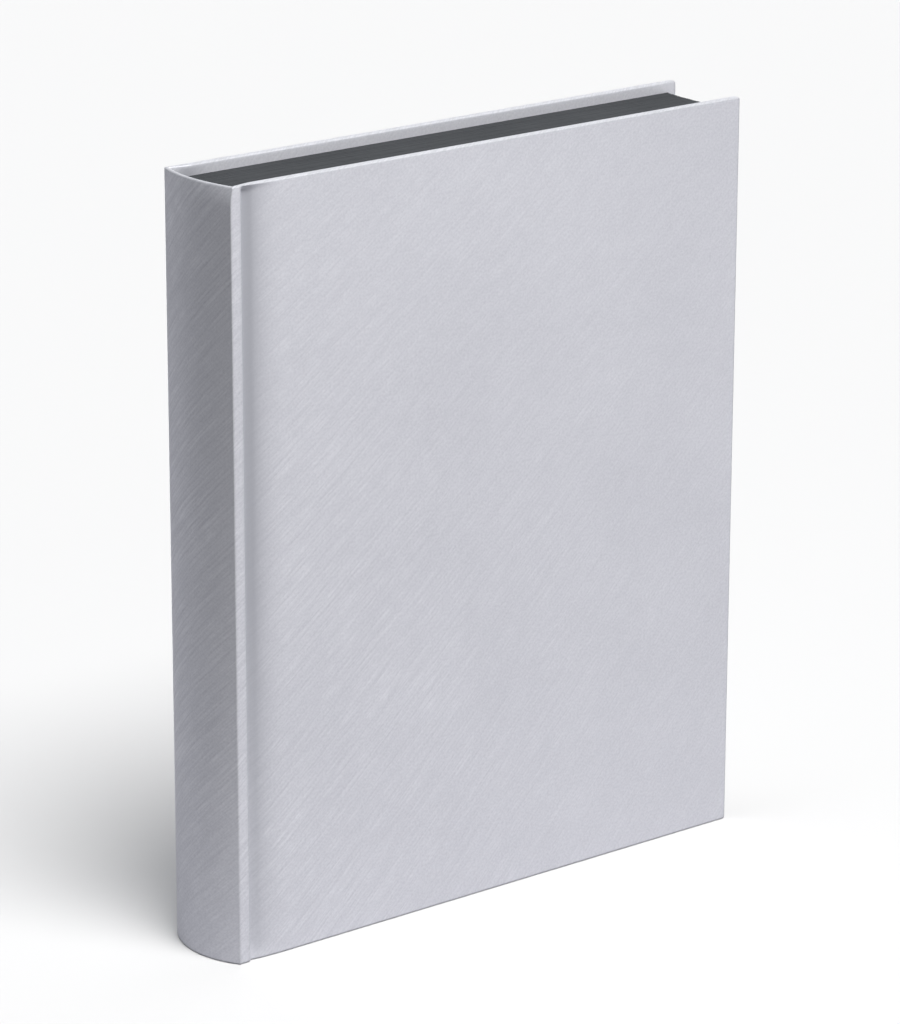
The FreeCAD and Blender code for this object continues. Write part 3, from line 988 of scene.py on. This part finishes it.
def spaced_through(stops, steps):
    """Numbers through a row of stops, with a step of its own between each two of them."""
    parts = [spaced(*ends) for ends in zip(stops, stops[1:], steps)]
    return np.concatenate([part[:-1] for part in parts] + [stops[-1:]])


def face_rows():
    """Heights of the rows: close together near the head and the tail."""
    stops = (CORNER_ROUND, END_ZONE, HEIGHT - END_ZONE, HEIGHT - CORNER_ROUND)
    return spaced_through(stops, ROW_STEPS)


def face_columns(first):
    """Runs of the columns: close together at the shoulders, over the groove and the bevel."""
    flank = ROUND_RUN + FLANK_END - SHOULDER
    bevel = ROUND_RUN + GROOVE_START + GROOVE_AT[-1] - SHOULDER
    stops = (
        0,
        SHOULDER_ZONE,
        ROUND_RUN - SHOULDER_ZONE,
        ROUND_RUN + SHOULDER_ZONE,
        flank + FLANK_ZONE[0],
        flank + FLANK_ZONE[1],
        bevel + BEVEL_ZONE,
        CLOTH_RUN - CORNER_ROUND,
    )
    columns = np.unique(np.round(spaced_through(stops, COLUMN_STEPS), LENGTH_DIGITS))
    return columns[columns >= first - TINY]


print(len(face_columns(0)), "columns,", len(face_rows()), "rows")

# %% [markdown]
# ### Points and faces
# The outline runs along the tail edge, round a corner, up the fore-edge, round the next corner and
# back along the head edge. Each of its points knows which way is out of the cover, so that one
# formula moves the outline in by any inset, and another tells how far out on the flat cloth a point
# of the turned-over edge lies.

# %% Outline
CORNER_STEPS = 4


def cover_outline(columns, rows):
    """Run, height and outward direction of each point of the cover's outline."""
    turns = np.linspace(0, math.pi / 2, CORNER_STEPS + 1)[1:-1]
    level, upright, corner = np.zeros(len(columns)), np.zeros(len(rows)), np.zeros(len(turns))
    outer = [part + CLOTH_RUN for part in (corner, upright, corner)]
    return (
        np.concatenate([columns, *outer, columns[::-1]]),
        np.concatenate([level, corner, rows, corner + HEIGHT, level + HEIGHT]),
        np.concatenate([level, np.sin(turns), upright + 1, np.cos(turns), level]),
        np.concatenate([level - 1, -np.cos(turns), upright, np.sin(turns), level + 1]),
    )


def moved_in(outline, inset):
    """Runs and heights of the outline, moved in by an inset."""
    runs, heights, across, upwards = outline
    centre = max(CORNER_ROUND, inset)
    radius = max(CORNER_ROUND - inset, 0)
    inner_runs = np.minimum(runs, CLOTH_RUN - centre)
    inner_heights = np.clip(heights, centre, HEIGHT - centre)
    return inner_runs + radius * across, inner_heights + radius * upwards


def face_border(grid):
    """The point of the face's grid that each point of the outline meets."""
    low_corner = [grid[0][-1]] * (CORNER_STEPS - 1)
    high_corner = [grid[-1][-1]] * (CORNER_STEPS - 1)
    fore_edge = [row[-1] for row in grid]
    return grid[0] + low_corner + fore_edge + high_corner + grid[-1][::-1]


print(len(cover_outline(face_columns(0), face_rows())[0]), "points in the outline")

# %% Points of a sheet
CREASE_WIDTH = 0.7 * MM
CREASE_WORN_SHADED = 0.3


def crease_at(runs):
    """How far the cloth is darkened along the two shoulders, with the edges' worn and shaded
    colour.
    """
    front = np.exp(-(((runs - ROUND_RUN) / CREASE_WIDTH) ** 2))
    return CREASE_WORN_SHADED * np.maximum(front, np.exp(-((runs / CREASE_WIDTH) ** 2)))


def sheet_points(columns, rows, pull):
    """The face's grid and then each ring: run, height, depth, place on the flat cloth, fold."""
    runs, heights = (axis.ravel() for axis in np.meshgrid(columns, rows))
    level = np.zeros(len(runs))
    parts = [np.stack([runs, heights, level, runs, heights, crease_at(runs)], axis=1)]
    outline = cover_outline(columns, rows)
    edge_runs, edge_heights = moved_in(outline, 0)
    beyond = np.full(len(edge_runs), -EDGE_ROUND)
    before = None
    for inset, fall, share, fold in wrap_rings():
        runs, heights = moved_in(outline, inset)
        thickness = case_path(runs, heights, pull)[:, 4]
        depth = fall * np.minimum(1, thickness / (2 * EDGE_ROUND)) + share * thickness
        if before is not None:
            beyond = beyond + np.hypot(inset - before[0], depth - before[1])
        before = (inset, depth)
        u, v = edge_runs + outline[2] * beyond, edge_heights + outline[3] * beyond
        parts.append(np.stack([runs, heights, depth, u, v, np.full(len(runs), fold)], axis=1))
    return parts


def quads_between(first, second):
    """Quads between two rows of point numbers of the same length."""
    return [(first[i], first[i + 1], second[i + 1], second[i]) for i in range(len(first) - 1)]


def grid_quads(grid):
    """Quads between all the rows of a grid of point numbers."""
    return [quad for rows in zip(grid, grid[1:]) for quad in quads_between(*rows)]


def numbered(columns, rows, start=0):
    """A grid of point numbers, row by row."""
    return (np.arange(columns * rows).reshape(rows, columns) + start).tolist()


print(f"crease rubbed over {2 * CREASE_WIDTH / MM:.1f} mm at each shoulder")

# %% Making a sheet
MERGE_DISTANCE = 0.002 * MM
DISSOLVE_DISTANCE = 0.001 * MM


def make_sheet(name, points, places, faces, mirrored):
    """A mesh object from points in the album's frame, with a UV map, fold values and painted groove
    shade values.
    """
    mesh = bpy.data.meshes.new(name)
    if mirrored:
        points = points * (1, -1, 1)
        faces = [face[::-1] for face in faces]
    mesh.from_pydata(points.tolist(), [], faces)
    layer = mesh.uv_layers.new(name="cloth")
    corners = np.zeros(len(mesh.loops), dtype=int)
    mesh.loops.foreach_get("vertex_index", corners)
    layer.data.foreach_set("uv", places[corners, :2].ravel())
    for number, label in enumerate(("fold", "pressed"), start=2):
        value = places[:, number] if number < places.shape[1] else np.zeros(len(places))
        mesh.attributes.new(label, "FLOAT", "POINT").data.foreach_set("value", value)
    form = bmesh.new()
    form.from_mesh(mesh)
    bmesh.ops.remove_doubles(form, verts=form.verts, dist=MERGE_DISTANCE)
    bmesh.ops.dissolve_degenerate(form, edges=form.edges, dist=DISSOLVE_DISTANCE)
    form.to_mesh(mesh)
    form.free()
    mesh.shade_smooth()
    made = bpy.data.objects.new(name, mesh)
    bpy.context.scene.collection.objects.link(made)
    return made


def thickened(made, thickness):
    """The sheet with its own thickness, which is added inwards."""
    wall = made.modifiers.new("wall", "SOLIDIFY")
    wall.thickness = thickness
    wall.offset = -1
    return made


def settled(made, material):
    """The object with its modifiers turned into plain mesh, and its material."""
    bpy.context.view_layer.update()
    graph = bpy.context.evaluated_depsgraph_get()
    plain = bpy.data.meshes.new_from_object(made.evaluated_get(graph))
    made.modifiers.clear()
    made.data = plain
    plain.materials.clear()
    plain.materials.append(material)
    count = sum(len(p.vertices) - 2 for p in plain.polygons)
    print(f"{made.name}: {len(plain.vertices)} points, {count} triangles")
    return made


print("points closer than", MERGE_DISTANCE / MM, "mm become one")

# %% Covering cloth
def case_cloth(name, first_run, mirrored):
    """The covering cloth from a first run to the fore-edge, wrapped over three edges."""
    columns, rows = face_columns(first_run), face_rows()
    pull = 0 if mirrored else SHOULDER_PULL
    parts = sheet_points(columns, rows, pull)
    grid = numbered(len(columns), len(rows))
    faces = grid_quads(grid)
    ring, start = face_border(grid), len(parts[0])
    for part in parts[1:]:
        following = list(range(start, start + len(part)))
        faces += quads_between(following, ring)
        ring, start = following, start + len(part)
    every = np.concatenate(parts)
    path = case_path(every[:, 0], every[:, 1], pull)
    points = np.stack([*sunk(path, every[:, 2]), every[:, 1]], axis=1)
    places = np.column_stack([every[:, 3:6], painted_groove_shade(every[:, 0], every[:, 1])])
    if mirrored:
        places[:, 0] = ROUND_RUN - places[:, 0]
    made = make_sheet(name, points, places, faces, mirrored)
    return settled(thickened(made, CLOTH), MATERIALS["silver_cloth"])


front_cloth = case_cloth("front_cloth", 0.0, False)
back_cloth = case_cloth("back_cloth", ROUND_RUN, True)

# %% [markdown]
# ## The card in the spine
# Under the spine's cloth is a strip of stiff card, as long as the boards. It keeps the spine's
# round and its sharp shoulders. It follows the same path as the cloth, one cloth's thickness
# further in, so it can't show through, whatever the path does near the head.

# %% Spine card
CARD_STEPS = tuple(step * MM for step in (0.8, 0.2, 1.4, 0.2, 0.8))
CARD_SHOULDER_ZONE = 1 * MM


def card_columns():
    """Runs of the columns: close together at the shoulders."""
    flank, zone = FLANK_END - SHOULDER, CARD_SHOULDER_ZONE
    stops = (-flank, -zone, zone, ROUND_RUN - zone, ROUND_RUN + zone, ROUND_RUN + flank)
    return spaced_through(stops, CARD_STEPS)


def card_in_spine():
    columns, rows = card_columns(), np.array([CLOTH, *face_rows(), HEIGHT - CLOTH])
    runs, heights = (axis.ravel() for axis in np.meshgrid(columns, rows))
    path = case_path(runs, heights)
    shells = [np.stack([*sunk(path, depth), heights], axis=1) for depth in (CLOTH, CLOTH + CARD)]
    places = np.stack([runs, heights, np.zeros(len(runs))], axis=1)
    outer = numbered(len(columns), len(rows))
    inner = numbered(len(columns), len(rows), len(runs))
    right, left = [row[-1] for row in outer], [row[0] for row in outer]
    edge = outer[0] + right[1:] + outer[-1][-2::-1] + left[-2::-1]
    walls = quads_between([i + len(runs) for i in edge], edge)
    faces = grid_quads(outer) + grid_quads(inner[::-1]) + walls
    points = np.concatenate(shells)
    made = make_sheet("card_in_spine", points, np.tile(places, (2, 1)), faces, False)
    return settled(made, MATERIALS["spine_card"])


spine_strip = card_in_spine()

# %% [markdown]
# ## The endpapers
# A folded sheet of black paper joins block and cover. One half is pasted inside the cover and the
# other is the first leaf. The pasted half covers the raw edges of the turned-in cloth, and because
# cloth is thick and paper thin, those edges show through as a low step. The frame has the pasted
# half only as far as the board, so it is made again here as one sheet that runs on over the joint.

# %% Endpapers
PASTEDOWN_LOW, PASTEDOWN_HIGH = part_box("front_pastedown")
LEAF_LOW, LEAF_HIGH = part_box("front_flyleaf")
PAPER = LEAF_HIGH.y - LEAF_LOW.y
STEP_DEPTH = 0.28 * MM
STEP_WIDTH = 1.6 * MM
STEP_ZONE = (-3 * MM, 1 * MM)
JOINT_ZONE = 4 * MM
RAW_EDGE_ZONE = 4 * MM
JOINT_SAG = 0.08 * MM
PAPER_COLUMN_STEPS = (0.7 * MM, 13 * MM, 0.5 * MM, 4 * MM)
PAPER_ROW_STEP = 14 * MM
PAPER_EDGE_STEPS = (4 * MM, 0.5 * MM)


def eased(value):
    """A smooth rise from 0 to 1."""
    value = np.clip(value, 0, 1)
    return value * value * (3 - 2 * value)


def paper_grid():
    """Places across and up the sheet: close together over the joint and the turned-in edges."""
    raw_edge = FORE_EDGE - TURN_IN
    stops = (
        LEAF_LOW.x + PAPER,
        PASTEDOWN_LOW.x + JOINT_ZONE,
        raw_edge + STEP_ZONE[0],
        raw_edge + STEP_ZONE[1],
        PASTEDOWN_HIGH.x,
    )
    tail, head = PASTEDOWN_LOW.z, PASTEDOWN_HIGH.z
    edge = spaced_through((0, TURN_IN - RAW_EDGE_ZONE, TURN_IN), PAPER_EDGE_STEPS)
    middle = spaced(tail + TURN_IN, head - TURN_IN, PAPER_ROW_STEP)[1:-1]
    rows = np.concatenate([tail + edge, middle, (head - edge)[::-1]])
    return np.meshgrid(spaced_through(stops, PAPER_COLUMN_STEPS), rows)


def paper_depth(across, up):
    """How far the sheet lies below its plane, inside the turned-in edges and over the joint."""
    on_board = eased((across - PASTEDOWN_LOW.x) / STEP_WIDTH)
    inside = on_board * eased((FORE_EDGE - TURN_IN - across) / STEP_WIDTH)
    inside = inside * eased((np.minimum(up, HEIGHT - up) - TURN_IN) / STEP_WIDTH)
    over_joint = (across - LEAF_LOW.x) / (PASTEDOWN_LOW.x - LEAF_LOW.x)
    sag = JOINT_SAG * np.sin(math.pi * np.clip(over_joint, 0, 1)) ** 2
    return inside * STEP_DEPTH + sag


def pasted_endpaper(name, mirrored):
    across, up = paper_grid()
    y = PASTEDOWN_HIGH.y - paper_depth(across, up)
    points = np.stack([across.ravel(), y.ravel(), up.ravel()], axis=1)
    places = np.stack([across.ravel(), up.ravel(), np.zeros(across.size)], axis=1)
    faces = grid_quads(numbered(across.shape[1], across.shape[0])[::-1])
    made = make_sheet(name, points, places, faces, mirrored)
    return settled(thickened(made, PAPER), MATERIALS["endpaper"])


front_endpaper = pasted_endpaper("front_endpaper", False)
back_endpaper = pasted_endpaper("back_endpaper", True)

# %% [markdown]
# ## The leaves of the block
# The frame has the block as one solid. Fifty-six card leaves are the same leaf again and again, so
# Geometry Nodes make them. One leaf is put at each of a row of points. Its length across the page
# follows the block's round spine and its hollow fore-edge. Seeded random values trim each leaf by
# a hair at the fore-edge and the head, because a pile of card is never quite flush. Each leaf
# also keeps a random value for its tone, which its material reads.

# %% Leaves by Geometry Nodes
BLOCK_LOW, BLOCK_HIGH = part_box("page_block")
LEAVES = 56
TRIM = 0.12 * MM
LEAF_SEED = 7
# Added to the seed, so that each leaf's three random values differ.
FORE_EDGE_TRIM, HEAD_TRIM, LEAF_TONE = 1, 2, 3


def block_sizes():
    """The group's inputs: sizes read from the frame's block, then seed and material."""
    corners = points_of("page_block")
    outer = corners[np.abs(corners[:, 1]) > BLOCK_HIGH.y - NEAR]
    middle = corners[np.abs(corners[:, 1]) < BLOCK_HIGH.y / 2]
    spine_edge = float(outer[:, 0].min())
    hollow_edge = float(middle[middle[:, 0] > 0, 0].min())
    return {
        "Leaves": LEAVES,
        "Pile Thickness": BLOCK_HIGH.y - BLOCK_LOW.y,
        "Spine Edge": spine_edge,
        "Spine Round": spine_edge - BLOCK_LOW.x,
        "Fore-edge": BLOCK_HIGH.x,
        "Fore-edge Hollow": BLOCK_HIGH.x - hollow_edge,
        "Tail Edge": BLOCK_LOW.z,
        "Head Edge": BLOCK_HIGH.z,
        "Trim": TRIM,
        "Seed": LEAF_SEED,
        "Material": MATERIALS["black_leaves"],
    }


def random_value(tree, high, seed, offset):
    """A random value for each leaf, from 0 to a high end."""
    number = add_node(tree, "GeometryNodeInputIndex").outputs[0]
    inputs = {2: 0.0, 3: high, "ID": number, "Seed": maths(tree, "ADD", seed, offset)}
    return add_node(tree, "FunctionNodeRandomValue", inputs).outputs[1]


def leaf_sizes(tree, given):
    """Centre and size of each leaf, worked out from its number in the pile."""
    number = add_node(tree, "GeometryNodeInputIndex").outputs[0]
    pitch = maths(tree, "DIVIDE", given["Pile Thickness"], given["Leaves"])
    from_middle = maths(tree, "SUBTRACT", number, maths(tree, "MULTIPLY", given["Leaves"], 0.5))
    place = maths(tree, "MULTIPLY", maths(tree, "ADD", from_middle, 0.5), pitch)
    outwards = maths(tree, "DIVIDE", place, maths(tree, "MULTIPLY", given["Pile Thickness"], 0.5))
    inwards = maths(tree, "SUBTRACT", 1.0, maths(tree, "MULTIPLY", outwards, outwards))
    bulge = maths(tree, "MULTIPLY", inwards, given["Spine Round"])
    edge_trim = random_value(tree, given["Trim"], given["Seed"], FORE_EDGE_TRIM)
    head_trim = random_value(tree, given["Trim"], given["Seed"], HEAD_TRIM)
    hollow = maths(tree, "MULTIPLY_ADD", inwards, given["Fore-edge Hollow"], edge_trim)
    start = maths(tree, "SUBTRACT", given["Spine Edge"], bulge)
    end = maths(tree, "SUBTRACT", given["Fore-edge"], hollow)
    bottom = given["Tail Edge"]
    top = maths(tree, "SUBTRACT", given["Head Edge"], head_trim)
    centres = [
        maths(tree, "MULTIPLY", maths(tree, "ADD", low, high), 0.5)
        for low, high in ((start, end), (bottom, top))
    ]
    lengths = [maths(tree, "SUBTRACT", high, low) for low, high in ((start, end), (bottom, top))]
    centre = combined(tree, centres[0], place, centres[1])
    return centre, combined(tree, lengths[0], pitch, lengths[1])


def build_pile_of_leaves(sizes):
    geometry = "NodeSocketGeometry"
    tree, given, result = new_group(
        "pile_of_leaves", sizes, ["Leaves"], "GeometryNodeTree", geometry
    )
    centre, size = leaf_sizes(tree, given)
    row = {"Count": given["Leaves"], "Position": centre}
    row = add_node(tree, "GeometryNodePoints", row).outputs[0]
    tone = random_value(tree, 1.0, given["Seed"], LEAF_TONE)
    toned = add_node(
        tree,
        "GeometryNodeStoreNamedAttribute",
        {"Geometry": row, "Name": "leaf_tone", "Value": tone},
        data_type="FLOAT",
        domain="POINT",
    ).outputs[0]
    leaf = {"Size": (1.0, 1.0, 1.0), "Vertices X": 5, "Vertices Y": 2, "Vertices Z": 6}
    leaf = add_node(tree, "GeometryNodeMeshCube", leaf).outputs[0]
    pile = {"Points": toned, "Instance": leaf, "Scale": size}
    pile = add_node(tree, "GeometryNodeInstanceOnPoints", pile).outputs[0]
    real = add_node(tree, "GeometryNodeRealizeInstances", {"Geometry": pile}).outputs[0]
    dyed = {"Geometry": real, "Material": given["Material"]}
    fill(tree, result, {"Leaves": add_node(tree, "GeometryNodeSetMaterial", dyed).outputs[0]})
    return tree


def page_leaves():
    sizes = block_sizes()
    made = bpy.data.objects.new("page_leaves", bpy.data.meshes.new("page_leaves"))
    bpy.context.scene.collection.objects.link(made)
    piling = made.modifiers.new("pile", "NODES")
    piling.node_group = build_pile_of_leaves(sizes)
    for item in piling.node_group.interface.items_tree:
        if item.in_out == "INPUT":
            piling[item.identifier] = sizes[item.name]
    return settled(made, MATERIALS["black_leaves"])


leaves = page_leaves()

# %% [markdown]
# ## How the pieces move with the frame
# A case opens where it is thinnest, along the two grooves. There the cloth and the endpapers bend,
# and everything else keeps its shape. Here the cloth and the endpapers only have their places fixed
# in the album's frame, and they are not made to bend. Where each bend would start is listed beside
# them, but nothing reads it. The endpaper lies inside the cloth. The leaves and the spine's card go
# with the block.

# %% Bodies
CLOTH_BEND_START = (FLANK_END, 0, 0)
PAPER_BEND_START = (FLANK_END + 1.8 * MM, 0, 0)

for piece, cover, start in (
    (front_cloth, "front_cover", CLOTH_BEND_START),
    (back_cloth, "back_cover", CLOTH_BEND_START),
    (front_endpaper, "front_cover", PAPER_BEND_START),
    (back_endpaper, "back_cover", PAPER_BEND_START),
):
    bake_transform(piece)
for piece in (leaves, spine_strip):
    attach(piece, "text_block")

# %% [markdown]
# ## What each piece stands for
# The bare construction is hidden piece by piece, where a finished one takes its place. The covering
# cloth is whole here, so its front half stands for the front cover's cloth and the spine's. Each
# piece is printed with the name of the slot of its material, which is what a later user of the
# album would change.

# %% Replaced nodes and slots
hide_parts("front_cover_cloth", "spine_cloth")
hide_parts("back_cover_cloth")
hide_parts("front_pastedown")
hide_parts("back_pastedown")
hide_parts("page_block")
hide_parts("spine_card")

for piece, slot in (
    (front_cloth, "silver_cloth"),
    (back_cloth, "silver_cloth"),
    (front_endpaper, "endpaper"),
    (back_endpaper, "endpaper"),
    (leaves, "black_pages"),
    (spine_strip, "spine_card"),
):
    print(f"{piece.name}: slot {slot}")

# %% [markdown]
# ## The cloth as a flat sheet
# The covering cloth is one sheet that is cut, glued and turned in by hand. Its flat size is the
# case's run and height, with the cover's thickness and the turn-in added at each wrapped edge.

# %% Sheets
WRAPPED = COVER_DEPTH + TURN_IN
FLAT_HEIGHT = HEIGHT + 2 * WRAPPED
FLAT_FRONT = (CLOTH_RUN + WRAPPED, FLAT_HEIGHT)
FLAT_BACK = (CLOTH_RUN - ROUND_RUN + WRAPPED, FLAT_HEIGHT)
for label, flat in (("front and spine", FLAT_FRONT), ("back", FLAT_BACK)):
    print(f"cloth of the {label}, flat: {flat[0] / MM:.0f} x {flat[1] / MM:.0f} mm")

# %% [markdown]
# ## Finishes of the pieces that stay as the frame has them
# Boards, mull, lining and flyleaves have their true form already, so each only gets its finish.
# Board is grey and coarse, from waste paper. Mull is an open starched weave. The lining is brown
# kraft paper, and a flyleaf is the same black paper as the rest of the endpaper.

# %% Finishes on the frame's own pieces
NODE_MATERIALS = {
    "front_board": "grey_board",
    "back_board": "grey_board",
    "spine_mull": "mull",
    "spine_lining": "lining_paper",
    "front_flyleaf": "endpaper",
    "back_flyleaf": "endpaper",
}
for name, key in NODE_MATERIALS.items():
    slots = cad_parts[name].data.materials
    slots.clear()
    slots.append(MATERIALS[key])
    print(name, "is finished as", key)

# %% [markdown]
# ## The sizes, and the end
# The box of the frame and the box of everything shown are written side by side. They should agree
# to a tenth of a millimetre, because the cloth lies tight on its boards.

# %% Sizes
visual_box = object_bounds()
boxes = [[list(corner) for corner in box] for box in (cad_box, visual_box)]
print("frame and shown boxes, mm:")
for box in boxes:
    print(*(round(value / MM, 2) for corner in box for value in corner))
